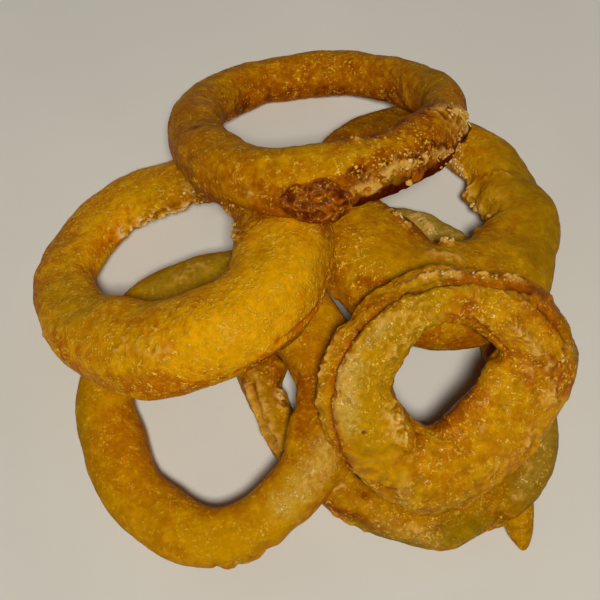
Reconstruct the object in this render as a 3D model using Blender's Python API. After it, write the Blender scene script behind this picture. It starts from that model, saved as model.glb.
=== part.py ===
"""Side of six battered onion rings lying in a loose pile.

Lengths below are millimetres and angles are degrees. Every ring is a torus
reshaped by short sets of waves: around the ring the centre line, the wall
width and the wall height each follow a mean value and a few cosines, and
local swells push the crust out or in. Each ring then leans on the rings and
the table beneath it. Around angles run from +X towards +Y; section angles
run from the outer side (0) over the top (90) to the hole side (180).
"""
import math
import random

import bpy
from mathutils import Matrix, Vector

MM = 0.001
AROUND_STEPS = 44
SECTION_STEPS = 18
SQUARENESS = 2.4
RIPPLE_TURNS = (5, 6, 7, 8)
RIPPLE_HEIGHT = 0.2
SOLE_Z = 0.0

DRIP_CENTRE = (55.2, -60.8, 3.7)
DRIP_SIZE = (8.6, 19.0, 7.2)
DRIP_TURN = 6.0

# Waves are (turns, cosine share, sine share) of the mean value.
# Swells are (around, around span, section, section span, height).
RINGS = {
    "ring_base": {
        "centre": (23.9, -22.5, 5.6),
        "slope": (0.000, 0.000),
        "radius": 38.1,
        "radius_waves": ((2, -0.082, -0.115), (3, -0.031, -0.016), (4, -0.022, -0.011)),
        "width": 11.2,
        "width_waves": ((1, 0.08, 0.07), (2, -0.04, -0.05)),
        "height": 12.2,
        "height_waves": (),
        "swells": ((-74.0, 8.0, 0.0, 60.0, 1.3), (-60.0, 6.0, 0.0, 60.0, -1.3)),
        "seed": 3,
    },
    "ring_front": {
        "centre": (-21.3, -35.9, 14.4),
        "slope": (0.238, 0.101),
        "radius": 30.6,
        "radius_waves": ((2, -0.044, -0.012), (3, 0.004, 0.025), (4, 0.003, -0.004)),
        "width": 16.7,
        "width_waves": ((1, 0.04, 0.13), (2, -0.05, 0.12), (3, 0.0, -0.03)),
        "height": 13.5,
        "height_waves": (),
        "swells": ((-75.0, 9.0, -20.0, 40.0, 0.8),),
        "seed": 5,
    },
    "ring_right": {
        "centre": (34.2, 19.7, 17.3),
        "slope": (-0.146, -0.358),
        "radius": 28.0,
        "radius_waves": ((2, -0.121, -0.037), (3, -0.008, 0.021), (4, 0.032, -0.007)),
        "width": 20.1,
        "width_waves": ((1, 0.0, -0.44), (2, -0.09, 0.08), (3, -0.02, 0.03)),
        "height": 15.8,
        "height_waves": ((1, -0.06, -0.22),),
        "swells": ((14.0, 9.0, 165.0, 40.0, 1.6), (-14.0, 7.0, 170.0, 40.0, -1.4)),
        "seed": 8,
    },
    "ring_left": {
        "centre": (-32.4, -0.5, 26.9),
        "slope": (0.471, -0.438),
        "radius": 32.1,
        "radius_waves": ((2, -0.014, -0.122), (3, -0.019, -0.009), (4, -0.013, -0.001)),
        "width": 20.2,
        "width_waves": ((1, 0.08, -0.12), (2, 0.01, -0.07), (3, 0.10, 0.03)),
        "height": 15.8,
        "height_waves": ((1, 0.18, -0.33),),
        "swells": ((118.0, 18.0, 20.0, 60.0, -1.4),),
        "seed": 13,
    },
    "ring_front_right": {
        "centre": (35.0, -37.1, 35.5),
        "slope": (-0.344, 0.879),
        "radius": 21.6,
        "radius_waves": ((2, -0.002, 0.043), (3, 0.006, 0.042), (4, 0.019, 0.024)),
        "width": 17.8,
        "width_waves": ((1, 0.12, -0.25), (2, 0.07, 0.02), (3, -0.01, 0.03)),
        "height": 14.8,
        "height_waves": (),
        "swells": ((135.0, 72.0, -30.0, 17.0, 1.6), (135.0, 72.0, 8.0, 16.0, -1.3)),
        "seed": 21,
    },
    "ring_top": {
        "centre": (4.3, 37.0, 32.7),
        "slope": (0.131, -0.838),
        "radius": 36.5,
        "radius_waves": ((2, -0.104, -0.035), (3, 0.024, 0.015), (4, 0.004, -0.008)),
        "width": 12.2,
        "width_waves": ((1, -0.15, -0.16), (2, 0.02, 0.02), (3, 0.0, -0.02)),
        "height": 14.0,
        "height_waves": ((1, 0.0, -0.10),),
        "swells": ((-90.0, 13.0, -38.0, 28.0, 2.2),),
        "seed": 34,
    },
}

COLOURS = {
    "ring_base": (0.62, 0.34, 0.05),
    "ring_front": (0.72, 0.38, 0.05),
    "ring_right": (0.60, 0.36, 0.05),
    "ring_left": (0.78, 0.40, 0.04),
    "ring_front_right": (0.76, 0.44, 0.08),
    "ring_top": (0.66, 0.30, 0.04),
}


def clear_scene():
    for item in list(bpy.data.objects):
        bpy.data.objects.remove(item, do_unlink=True)


def make_collection(name):
    group = bpy.data.collections.new(name)
    bpy.context.scene.collection.children.link(group)
    return group


def move_to(item, group):
    for holder in list(item.users_collection):
        holder.objects.unlink(item)
    group.objects.link(item)


def batter_material(name, colour):
    material = bpy.data.materials.new(name)
    material.use_nodes = True
    shader = material.node_tree.nodes["Principled BSDF"]
    shader.inputs["Base Color"].default_value = (*colour, 1.0)
    shader.inputs["Roughness"].default_value = 0.45
    return material


def wave(mean, shares, angle):
    total = 1.0
    for turns, cosine, sine in shares:
        total += cosine * math.cos(turns * angle) + sine * math.sin(turns * angle)
    return mean * total


def wave_rate(mean, shares, angle):
    total = 0.0
    for turns, cosine, sine in shares:
        total += turns * (sine * math.cos(turns * angle) - cosine * math.sin(turns * angle))
    return mean * total


def signed_power(value, power):
    return math.copysign(abs(value) ** power, value)


def turn_between(angle, centre):
    return (angle - centre + 180.0) % 360.0 - 180.0


def swell(swells, around, section):
    push = 0.0
    for at, span, side, side_span, height in swells:
        along = turn_between(math.degrees(around), at) / span
        across = turn_between(math.degrees(section), side) / side_span
        push += height * math.exp(-along * along - across * across)
    return push


def ripple_phases(seed):
    source = random.Random(seed)
    return [
        (turns, source.choice((-1, 0, 1)), source.uniform(0.0, 2.0 * math.pi))
        for turns in RIPPLE_TURNS
    ]


def ripple(phases, around, section):
    return sum(
        RIPPLE_HEIGHT * math.cos(turns * around + lean * section + phase)
        for turns, lean, phase in phases
    )


def ring_point(spec, phases, around, section):
    """Point of the crust in the ring's own upright frame, in millimetres."""
    reach = wave(spec["radius"], spec["radius_waves"], around)
    reach_rate = wave_rate(spec["radius"], spec["radius_waves"], around)
    run = Vector((
        reach_rate * math.cos(around) - reach * math.sin(around),
        reach_rate * math.sin(around) + reach * math.cos(around),
        0.0,
    ))
    outward = Vector((run.y, -run.x, 0.0)).normalized()
    push = swell(spec["swells"], around, section) + ripple(phases, around, section)
    width = wave(spec["width"], spec["width_waves"], around)
    height = wave(spec["height"], spec["height_waves"], around)
    across = 0.5 * width * signed_power(math.cos(section), 2.0 / SQUARENESS) + push * math.cos(section)
    rise = 0.5 * height * signed_power(math.sin(section), 2.0 / SQUARENESS) + push * math.sin(section)
    centre_line = Vector((reach * math.cos(around), reach * math.sin(around), 0.0))
    return centre_line + outward * across + Vector((0.0, 0.0, rise))


def lean(spec):
    """Rotation that leans an upright ring to its slope."""
    slope_x, slope_y = spec["slope"]
    normal = Vector((-slope_x, -slope_y, 1.0))
    return Vector((0.0, 0.0, 1.0)).rotation_difference(normal).to_matrix()


def make_ring(name, spec, group):
    bpy.ops.mesh.primitive_torus_add(
        major_radius=1.0,
        minor_radius=0.25,
        major_segments=AROUND_STEPS,
        minor_segments=SECTION_STEPS,
    )
    ring = bpy.context.active_object
    ring.name = name
    ring.data.name = name
    phases = ripple_phases(spec["seed"])
    turn = lean(spec)
    centre = Vector(spec["centre"])
    for vertex in ring.data.vertices:
        x, y, z = vertex.co
        around = math.atan2(y, x)
        section = math.atan2(z, math.hypot(x, y) - 1.0)
        point = turn @ ring_point(spec, phases, around, section) + centre
        point.z = max(point.z, SOLE_Z)
        vertex.co = point * MM
    for face in ring.data.polygons:
        face.use_smooth = True
    ring.data.materials.append(batter_material(name + "_batter", COLOURS[name]))
    move_to(ring, group)
    return ring


def add_drip(ring, cutters):
    """Tongue of run batter at the foot of the base ring."""
    bpy.ops.mesh.primitive_uv_sphere_add(segments=16, ring_count=8, radius=0.5)
    tongue = bpy.context.active_object
    tongue.name = "drip_tongue"
    shape = Matrix.LocRotScale(
        Vector(DRIP_CENTRE) * MM,
        Matrix.Rotation(math.radians(DRIP_TURN), 3, "Z"),
        Vector(DRIP_SIZE) * MM,
    )
    tongue.data.transform(shape)
    tongue.hide_render = True
    tongue.display_type = "WIRE"
    move_to(tongue, cutters)
    join = ring.modifiers.new("drip", "BOOLEAN")
    join.operation = "UNION"
    join.solver = "EXACT"
    join.object = tongue
    return tongue


def set_on_origin(rings, others):
    """Shift everything so the pile's box stands centred on the origin."""
    corners = [vertex.co for ring in rings for vertex in ring.data.vertices]
    low = Vector([min(point[axis] for point in corners) for axis in range(3)])
    high = Vector([max(point[axis] for point in corners) for axis in range(3)])
    shift = Matrix.Translation(Vector((-(low.x + high.x) / 2.0, -(low.y + high.y) / 2.0, -low.z)))
    for item in rings + others:
        item.data.transform(shift)


def main():
    clear_scene()
    pile = make_collection("onion_rings_side")
    cutters = make_collection("cutters")
    cutters.hide_render = True
    rings = [make_ring(name, spec, pile) for name, spec in RINGS.items()]
    base = bpy.data.objects["ring_base"]
    tongue = add_drip(base, cutters)
    set_on_origin(rings, [tongue])


main()
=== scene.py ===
"""Visual model of a side of six battered onion rings in a loose pile.

Every ring is rebuilt as a fine closed grid on the same form as its CAD solid,
then given batter relief, folds, flaky patches and stuck-on crumbs. The tables
and shapes are in millimetres and degrees; the meshes and the stage in metres.
"""

import itertools
import math
import random

import bmesh
import bpy
import numpy as np
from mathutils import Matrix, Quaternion, Vector
from mathutils.bvhtree import BVHTree


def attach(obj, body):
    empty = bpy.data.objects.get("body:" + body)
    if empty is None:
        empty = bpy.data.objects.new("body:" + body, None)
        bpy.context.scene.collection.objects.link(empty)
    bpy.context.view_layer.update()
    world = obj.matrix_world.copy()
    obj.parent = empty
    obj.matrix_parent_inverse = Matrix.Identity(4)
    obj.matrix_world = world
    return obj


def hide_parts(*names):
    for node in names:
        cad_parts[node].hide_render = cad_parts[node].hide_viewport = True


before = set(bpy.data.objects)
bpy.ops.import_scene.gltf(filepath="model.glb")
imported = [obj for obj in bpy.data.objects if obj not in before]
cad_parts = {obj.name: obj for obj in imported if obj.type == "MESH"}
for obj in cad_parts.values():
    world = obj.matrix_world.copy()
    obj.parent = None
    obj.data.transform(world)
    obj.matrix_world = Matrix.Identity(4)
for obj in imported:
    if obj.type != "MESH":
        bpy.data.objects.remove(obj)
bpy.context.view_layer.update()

MM = 0.001
TURN = 2.0 * math.pi
# Moves the rings as the CAD does to stand the pile centred on the origin.
PILE_SHIFT = np.array((0.784, 1.458, 0.0))
# The power of a wall's rounded section: at 2 it would be an oval.
SQUARENESS = 2.4
RIPPLE_TURNS = (5, 6, 7, 8)
RIPPLE_HEIGHT = 0.2

# The rings' smooth form: waves are (turns, cosine share, sine share) of the
# mean, swells are (around, span, section, span, rise). Around angles run from
# +X towards +Y; section angles run from the outer side (0) over the top (90) to
# the hole side (180). The grid is the fine mesh's steps around and in section.
RINGS = {
    "ring_base": {
        "grid": (480, 120),
        "centre": (23.9, -22.5, 5.6),
        "slope": (0.0, 0.0),
        "radius": (38.1, (2, -0.082, -0.115), (3, -0.031, -0.016), (4, -0.022, -0.011)),
        "width": (11.2, (1, 0.08, 0.07), (2, -0.04, -0.05)),
        "height": (12.2,),
        "swells": ((-74.0, 8.0, 0.0, 60.0, 1.3), (-60.0, 6.0, 0.0, 60.0, -1.3)),
        "seed": 3,
    },
    "ring_front": {
        "grid": (500, 150),
        "centre": (-21.3, -35.9, 14.4),
        "slope": (0.238, 0.101),
        "radius": (30.6, (2, -0.044, -0.012), (3, 0.004, 0.025), (4, 0.003, -0.004)),
        "width": (16.7, (1, 0.04, 0.13), (2, -0.05, 0.12), (3, 0.0, -0.03)),
        "height": (13.5,),
        "swells": ((-75.0, 9.0, -20.0, 40.0, 0.8),),
        "seed": 5,
    },
    "ring_right": {
        "grid": (480, 170),
        "centre": (34.2, 19.7, 17.3),
        "slope": (-0.146, -0.358),
        "radius": (28.0, (2, -0.121, -0.037), (3, -0.008, 0.021), (4, 0.032, -0.007)),
        "width": (20.1, (1, 0.0, -0.44), (2, -0.09, 0.08), (3, -0.02, 0.03)),
        "height": (15.8, (1, -0.06, -0.22)),
        "swells": ((14.0, 9.0, 165.0, 40.0, 1.6), (-14.0, 7.0, 170.0, 40.0, -1.4)),
        "seed": 8,
    },
    "ring_left": {
        "grid": (520, 170),
        "centre": (-32.4, -0.5, 26.9),
        "slope": (0.471, -0.438),
        "radius": (32.1, (2, -0.014, -0.122), (3, -0.019, -0.009), (4, -0.013, -0.001)),
        "width": (20.2, (1, 0.08, -0.12), (2, 0.01, -0.07), (3, 0.1, 0.03)),
        "height": (15.8, (1, 0.18, -0.33)),
        "swells": ((118.0, 18.0, 20.0, 60.0, -1.4),),
        "seed": 13,
    },
    "ring_front_right": {
        "grid": (420, 190),
        "centre": (35.0, -37.1, 35.5),
        "slope": (-0.344, 0.879),
        "radius": (21.6, (2, -0.002, 0.043), (3, 0.006, 0.042), (4, 0.019, 0.024)),
        "width": (17.8, (1, 0.12, -0.25), (2, 0.07, 0.02), (3, -0.01, 0.03)),
        "height": (14.8,),
        "swells": ((135.0, 72.0, -30.0, 17.0, 1.6), (135.0, 72.0, 8.0, 16.0, -1.3)),
        "seed": 21,
    },
    "ring_top": {
        "grid": (540, 150),
        "centre": (4.3, 37.0, 32.7),
        "slope": (0.131, -0.838),
        "radius": (36.5, (2, -0.104, -0.035), (3, 0.024, 0.015), (4, 0.004, -0.008)),
        "width": (12.2, (1, -0.15, -0.16), (2, 0.02, 0.02), (3, 0.0, -0.02)),
        "height": (14.0, (1, 0.0, -0.1)),
        "swells": ((-90.0, 13.0, -38.0, 28.0, 2.2),),
        "seed": 34,
    },
}

# What a mark of strength 1 adds to the fields of the crust where it lies.
EFFECTS = {
    "flake": {"pale": 0.95, "crumble": 1.0, "height": 0.3},
    "cream": {"pale": 0.55, "grain_and_glint": 0.2},
    "amber": {"tone": -1.1, "brown": 0.1},
    "brown": {"brown": 0.75},
    "swell": {"height": 1.0},
    "hollow": {"height": -1.0},
    "rim": {"height": 0.5, "tone": -0.8, "brown": 0.15, "grain_and_glint": 0.5},
    # The brown that seam, groove, crease and dent add darkens the dips they cut: painted shade.
    "seam": {"height": -0.4, "brown": 0.6, "grain_and_glint": -0.4},
    "burnt": {"burnt": 1.0, "grain_and_glint": -0.4, "crumble": 0.25},
    "onion": {"onion": 0.9, "grain_and_glint": -0.2},
    "milk": {"milk": 0.75, "grain_and_glint": 0.7},
    "grain_and_glint": {"grain_and_glint": 0.7, "tone": 0.4},
    "smooth": {"grain_and_glint": -0.9},
    "groove": {"height": -1.5, "tone": -0.6, "brown": 0.4, "grain_and_glint": -0.5},
    "crease": {"height": -0.9, "tone": -0.6, "brown": 0.35},
    "lip": {"height": 1.2, "pale": 0.25, "crumble": 0.25},
    "ridge": {"height": 0.8, "pale": 0.55, "crumble": 0.4},
    "pit": {"height": -1.0, "burnt": 1.4},
    "dent": {"height": -0.8, "brown": 0.6},
    "bright": {"tone": 0.8, "brown": -0.5},
    "film": {"height": 0.35, "tone": -0.2, "brown": 0.12},
    "frost": {"pale": 1.0, "frost": 1.0, "crumble": 1.0, "height": 0.3},
}

# Marks are (kind, half width, strength, (around, section), ...) along a line.
TOP_MARKS = (
    ("burnt", 2.6, 1.5, (280, -46), (285, -46), (290, -46), (296, -44),
     (302, -40), (309, -34), (320, -28)),
    ("burnt", 2, 1.4, (318, -24), (334, -24), (347, -16)),
    ("flake", 1.2, 0.9, (281, -14), (286, -12), (290, -8), (296, 6),
     (303, 6), (310, 0), (318, -2), (326, 2)),
    ("flake", 2, 0.3, (284, 0), (292, 8), (300, 16)),
    ("ridge", 0.7, 1, (285, -24), (289, -20), (291, -14)),
    ("ridge", 0.7, 1, (301, 6), (299, -6), (299, -22)),
    ("ridge", 0.7, 0.9, (306, 4), (305, -8)),
    ("onion", 2.4, 0.8, (294, -18), (294, -8)),
    ("smooth", 2.4, 1, (294, -18), (294, -8)),
    ("flake", 3, 0.9, (325, 62), (333, 50), (339, 22), (344, -10)),
    ("flake", 2.6, 0.9, (330, 24), (346, -24)),
    ("brown", 3, 0.8, (283, 16), (292, 14)),
    ("brown", 3, 0.5, (304, 6), (318, 4), (330, 0)),
    ("brown", 3, 0.7, (134, 204), (113, 212), (95, 208), (78, 212), (58, 216), (40, 200)),
    ("crease", 1.6, 1, (152, 176), (148, 200), (142, 229)),
    ("ridge", 1.8, 0.5, (186, 110), (170, 140), (160, 165)),
    ("flake", 1.2, 0.7, (254, -3)),
    ("brown", 1.6, 0.8, (211, 86)),
    ("brown", 1.8, 0.6, (73, 136)),
    ("flake", 1.4, 0.5, (44, 141)),
    ("lip", 1.6, 0.8, (287, 92)),
    ("bright", 7, 0.9, (262, 50), (275, 44), (285, 40)),
    ("grain_and_glint", 5, 0.8, (276, 20), (290, 30), (305, 50)),
    ("onion", 7, 0.5, (8, 80), (20, 40), (30, 60)),
    ("brown", 7, 0.15, (195, 60), (212, 30)),
    ("brown", 7, 0.12, (160, 80), (190, 70), (219, 70)),
    ("brown", 4, 0.7, (262, -8), (270, 0), (282, 2)),
    ("brown", 5, 0.4, (285, 18), (300, 20), (314, 2)),
    # Painted shade along the hole's upper edge.
    ("brown", 4.6, 0.95, (282, 102), (300, 100), (315, 98), (332, 94)),
    ("brown", 3, 0.6, (353, 30), (357, 10)),
)

LEFT_MARKS = (
    ("grain_and_glint", 9, 1, (340, 50), (325, 25), (308, 22), (290, 30)),
    ("bright", 8, 1, (332, 46), (318, 30), (300, 24)),
    ("rim", 0.6, 0.8, (340, -17), (333, -25), (326, -29), (318, -25), (311, -18), (306, -16)),
    ("seam", 0.5, 0.9, (340, -9), (333, -17), (326, -21), (318, -17), (311, -10)),
    ("brown", 2.2, 0.9, (350, -30), (340, -34), (333, -44), (326, -48),
     (318, -44), (311, -38), (304, -36)),
    ("flake", 1, 0.8, (48, 184), (34, 176)),
    ("flake", 1, 0.9, (8, 156), (354, 142), (344, 130)),
    ("frost", 2, 0.9, (136, 186), (122, 194), (110, 198), (98, 202), (86, 208)),
    ("flake", 2.4, 0.7, (268, 56)),
    ("flake", 2.2, 0.6, (277, 54), (283, 39)),
    ("flake", 1.8, 0.45, (302, 26)),
    ("flake", 1.6, 0.5, (184, 156)),
    ("flake", 2, 0.5, (209, 29), (222, 22), (232, 14)),
    ("frost", 1.6, 1, (122, 206), (108, 210), (95, 217), (86, 214), (77, 206)),
    ("flake", 1.6, 0.6, (84, 152), (80, 172)),
    ("brown", 3, 0.8, (78, 188), (62, 196)),
    ("brown", 4, 0.7, (22, 154), (5, 146), (345, 134)),
    ("brown", 4.5, 0.35, (262, 92), (279, 84), (295, 80)),
    ("onion", 6, 0.5, (200, 90), (226, 92)),
    ("brown", 5, 0.3, (262, 10), (284, -9)),
    # Painted shade on the outer left side; the next mark darkens and browns its edge.
    ("brown", 8, 0.5, (146, 52), (168, 48), (188, 40)),
    ("brown", 4, 0.35, (240, 24), (226, 28), (212, 32)),
    # The next two marks only darken the batter at the back of the hole side.
    ("brown", 6, 0.4, (78, 142), (92, 150)),
    ("burnt", 5, 0.1, (82, 146), (94, 152)),
    ("amber", 7, 0.35, (350, 40), (335, 25), (322, 4)),
    # Painted shadow of the top ring, below the lump.
    ("brown", 6, 0.9, (354, 90), (352, 60), (350, 30)),
    # Darker again at the back of the hole side.
    ("onion", 5, 0.5, (80, 144), (98, 152), (112, 152)),
    ("onion", 7, 0.3, (262, 30), (276, 30)),
)

FRONT_MARKS = (
    ("milk", 3.6, 0.7, (336, 60), (324, 66), (314, 68), (304, 70)),
    ("cream", 2.2, 0.6, (338, 44), (326, 52), (316, 60)),
    ("cream", 2.2, 0.7, (332, 74), (318, 76)),
    ("hollow", 1, 1.3, (270, -40), (270, 5)),
    ("hollow", 0.9, 1.1, (277, -40), (277, 5)),
    ("swell", 1, 0.6, (273.5, -40), (273.5, 5)),
    ("hollow", 1.8, 1.3, (288, -40), (288, 8)),
    ("swell", 2.5, 1.2, (330, -14)),
    ("flake", 1.8, 0.5, (276, -8)),
    ("amber", 5, 0.9, (205, 165), (233, 162), (258, 155), (281, 145), (298, 125)),
    ("onion", 5, 0.2, (196, 44), (208, 40), (223, 36)),
    ("brown", 5, 0.3, (302, 120), (316, 124)),
    ("bright", 4, 0.8, (258, 156), (281, 152), (296, 150)),
    ("amber", 6, 0.7, (192, 112), (214, 108)),
    ("milk", 6, 0.15, (90, 70), (112, 84)),
    ("onion", 7, 0.85, (84, 64), (112, 80)),
    ("flake", 1.8, 0.4, (94, 60), (104, 72)),
    ("amber", 5, 0.6, (8, 110), (20, 100), (40, 95)),
    ("bright", 7, 0.9, (272, 72), (288, 76), (302, 82)),
    ("brown", 5, 0.6, (344, 96), (354, 106), (2, 110)),
    ("onion", 6, 0.45, (156, 54), (172, 44), (186, 34)),
    ("bright", 5, 0.4, (205, 150), (233, 150)),
    ("grain_and_glint", 3, 0.9, (0, 90), (10, 70), (20, 60)),
    ("hollow", 1.8, 1.8, (9, 164)),
    ("swell", 2.6, 1.6, (344, 152), (332, 145)),
)

RIGHT_MARKS = (
    ("swell", 3, 1.8, (236, -21)),
    ("swell", 2.6, 3.2, (29, 198)),
    ("flake", 1.8, 0.8, (29, 205), (24, 210)),
    ("swell", 1.5, 1.2, (325, 166)),
    ("hollow", 1.8, 1.3, (342, 168)),
    ("hollow", 1.8, 0.9, (44, 198)),
    ("flake", 1.5, 1, (58, 180), (50, 184), (42, 184), (36, 186)),
    ("flake", 2.6, 0.9, (32, 198), (22, 196), (10, 190)),
    ("ridge", 1, 0.9, (29, 142), (27, 128)),
    ("ridge", 1, 0.8, (24, 112), (21, 104)),
    ("crease", 1, 0.8, (40, 176), (33, 150), (28, 134)),
    ("amber", 4, 0.9, (22, 150), (30, 165)),
    ("flake", 1.4, 0.8, (220, 121), (226, 126), (232, 124)),
    ("flake", 1.4, 0.9, (269, 144), (279, 130)),
    ("flake", 2.6, 0.6, (264, 106), (275, 102)),
    ("grain_and_glint", 6, 1, (235, 54), (245, 49), (252, 54)),
    ("bright", 5, 0.4, (244, 66), (252, 80)),
    ("brown", 3, 0.7, (247, 40), (256, 56), (262, 76)),
    ("brown", 4, 0.35, (224, 30), (236, 26)),
    ("brown", 4, 0.4, (206, 60), (214, 70)),
    ("smooth", 5, 0.8, (243, 89), (255, 95)),
    ("smooth", 9, 0.9, (24, 76), (345, 84), (317, 70)),
    ("onion", 9, 0.6, (30, 50), (345, 60), (312, 50)),
    ("brown", 4, 0.8, (225, 130), (240, 140), (255, 150)),
    ("brown", 5, 0.6, (141, 101), (104, 85), (85, 80)),
    ("bright", 5, 1, (348, 144), (6, 154), (20, 160), (34, 168)),
    ("cream", 4, 0.5, (344, 146), (0, 154)),
    ("brown", 3, 0.6, (204, 118), (216, 122)),
    ("brown", 6, 0.35, (256, 0), (286, 0)),
    # Painted shadow of the top ring on the back of this ring.
    ("brown", 7, 0.6, (100, 40), (124, 50), (150, 60)),
    ("onion", 7, 0.4, (100, 70), (130, 80)),
)

FRONT_RIGHT_MARKS = (
    ("film", 2.4, 0.6, (142, 0), (153, -6), (164, -4), (179, -3),
     (192, 0), (208, -4), (220, -10), (232, -12)),
    ("ridge", 0.45, 0.7, (142, -8), (153, -16), (164, -14), (179, -13),
     (192, -8), (208, -13), (220, -16)),
    ("flake", 0.9, 0.7, (163, -14), (172, -13), (186, -9), (198, -9)),
    ("groove", 1.4, 1.2, (140, 16), (150, 13), (160, 12), (170, 13),
     (182, 17), (196, 18), (208, 12), (220, 2)),
    ("bright", 3, 0.6, (184, -2), (192, 0), (205, -5)),
    ("swell", 3.6, 2.6, (298, 172), (312, 166), (330, 162), (350, 170)),
    ("swell", 4, 1.2, (4, 180)),
    ("hollow", 3, 1.2, (24, 186), (36, 190)),
    ("swell", 2, 0.8, (226, 0)),
    ("hollow", 2.5, 1.5, (152, -26)),
    ("pit", 0.6, 1, (153, 6)),
    ("pit", 0.5, 1, (205, 79)),
    ("pit", 0.6, 0.9, (232, 6)),
    ("brown", 2.2, 1, (150, 22), (165, 24), (182, 30), (196, 32), (208, 24), (222, 14)),
    ("amber", 4, 1, (292, 165), (310, 160), (330, 160)),
    ("brown", 3.4, 1, (292, 176), (310, 174), (330, 172)),
    ("bright", 7, 1, (210, 90), (185, 85), (150, 85), (118, 70)),
    ("brown", 2.4, 0.25, (136, 2), (110, 4), (84, 6)),
    ("bright", 2.5, 0.5, (118, 2), (104, 2)),
    ("milk", 2.6, 0.85, (198, 60), (190, 62), (176, 58), (168, 54)),
    ("milk", 1.6, 0.7, (150, 56), (142, 60)),
    ("flake", 2.2, 0.5, (188, 44), (174, 42), (160, 40)),
    ("flake", 2, 0.5, (140, 58), (130, 66), (120, 70)),
    ("onion", 7, 0.35, (210, 80), (185, 85), (150, 90), (115, 75)),
    ("flake", 1.8, 0.5, (150, 96), (136, 104), (120, 100)),
    ("flake", 2.4, 0.6, (202, 126), (212, 120), (226, 116), (234, 106)),
    ("amber", 8, 0.7, (267, 95), (285, 120), (308, 120)),
    ("amber", 3, 0.7, (95, 134), (70, 145), (50, 150)),
    ("hollow", 1.6, 1.6, (236, 160)),
    ("flake", 1.6, 0.5, (182, 64), (185, 71)),
    ("milk", 1.6, 0.3, (246, 80), (251, 66), (254, 46)),
    ("onion", 5, 0.35, (248, 56), (276, 60)),
    ("brown", 4, 0.3, (240, 36), (262, 44)),
    ("ridge", 1, 0.8, (249, 60), (254, 44)),
    ("crease", 1, 0.9, (240, 40), (246, 50), (251, 66)),
    ("film", 2.2, 0.9, (128, 4), (112, 8), (98, 8), (84, 10), (70, 14), (56, 14), (44, 14)),
    ("lip", 1.2, 0.8, (120, -6), (112, -4), (106, -4), (94, -4), (84, 0),
     (74, 4), (62, 6), (50, 4), (40, 6)),
    ("flake", 1.2, 0.65, (110, -2), (100, -4), (92, 2)),
    ("amber", 4, 0.9, (102, 96), (84, 96)),
    ("flake", 1, 0.9, (80, 0), (72, 6), (64, 8), (56, 6)),
    ("groove", 1.3, 1, (116, 26), (108, 30), (98, 30), (86, 22), (76, 26), (64, 30), (54, 28)),
    # Painted shadow in the gap under the film: this mark and the next.
    ("brown", 2.4, 0.9, (142, 26), (130, 28), (118, 32)),
    ("burnt", 0.6, 0.7, (124, 22), (116, 25), (108, 28), (98, 28), (90, 24)),
    ("brown", 5, 0.35, (14, 92), (2, 92)),
    ("burnt", 1.6, 0.45, (62, 34), (50, 24), (44, 18)),
    ("groove", 1, 0.8, (45, 52), (38, 54), (31, 52), (24, 51)),
    ("onion", 4, 0.5, (27, 22), (19, 40)),
    ("crease", 0.8, 0.5, (101, 116), (78, 128), (56, 149), (34, 148), (16, 144), (4, 111)),
    ("flake", 2.2, 0.7, (202, 134), (221, 124), (233, 109)),
    ("ridge", 0.9, 0.9, (58, 94), (34, 101), (14, 91), (358, 69)),
    ("dent", 2.4, 0.9, (89, 94)),
    ("crease", 0.9, 0.7, (100, 124), (92, 140)),
    ("flake", 1.4, 0.7, (56, 96)),
    ("flake", 1.3, 0.5, (77, 116)),
    ("flake", 1.3, 0.6, (68, 54)),
    ("flake", 1.3, 0.6, (55, 56)),
    ("ridge", 1.3, 1, (47, 101), (33, 99), (22, 94), (16, 89)),
    ("flake", 1.4, 0.6, (13, 114)),
    ("flake", 1.2, 0.7, (22, 59)),
    ("flake", 1.8, 0.6, (0, 79), (356, 82)),
    ("flake", 1.3, 0.5, (316, 126)),
    ("flake", 1.6, 0.6, (326, 66)),
    ("crease", 1.8, 0.8, (236, 154), (243, 120), (250, 96)),
    ("bright", 8, 1, (335, 140), (312, 125), (290, 120), (270, 110)),
    ("flake", 1.6, 0.5, (325, 60), (335, 72)),
    ("flake", 2, 0.3, (310, 80), (296, 70)),
    ("brown", 6, 0.3, (278, 58), (300, 60)),
    ("brown", 6, 0.6, (8, 56), (18, 40), (32, 40), (46, 50)),
    ("brown", 5, 0.4, (2, 116), (20, 126)),
    ("smooth", 5, 0.9, (223, 66), (238, 76)),
    ("grain_and_glint", 6, 0.8, (150, 70), (130, 80), (100, 70), (70, 80)),
)

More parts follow.
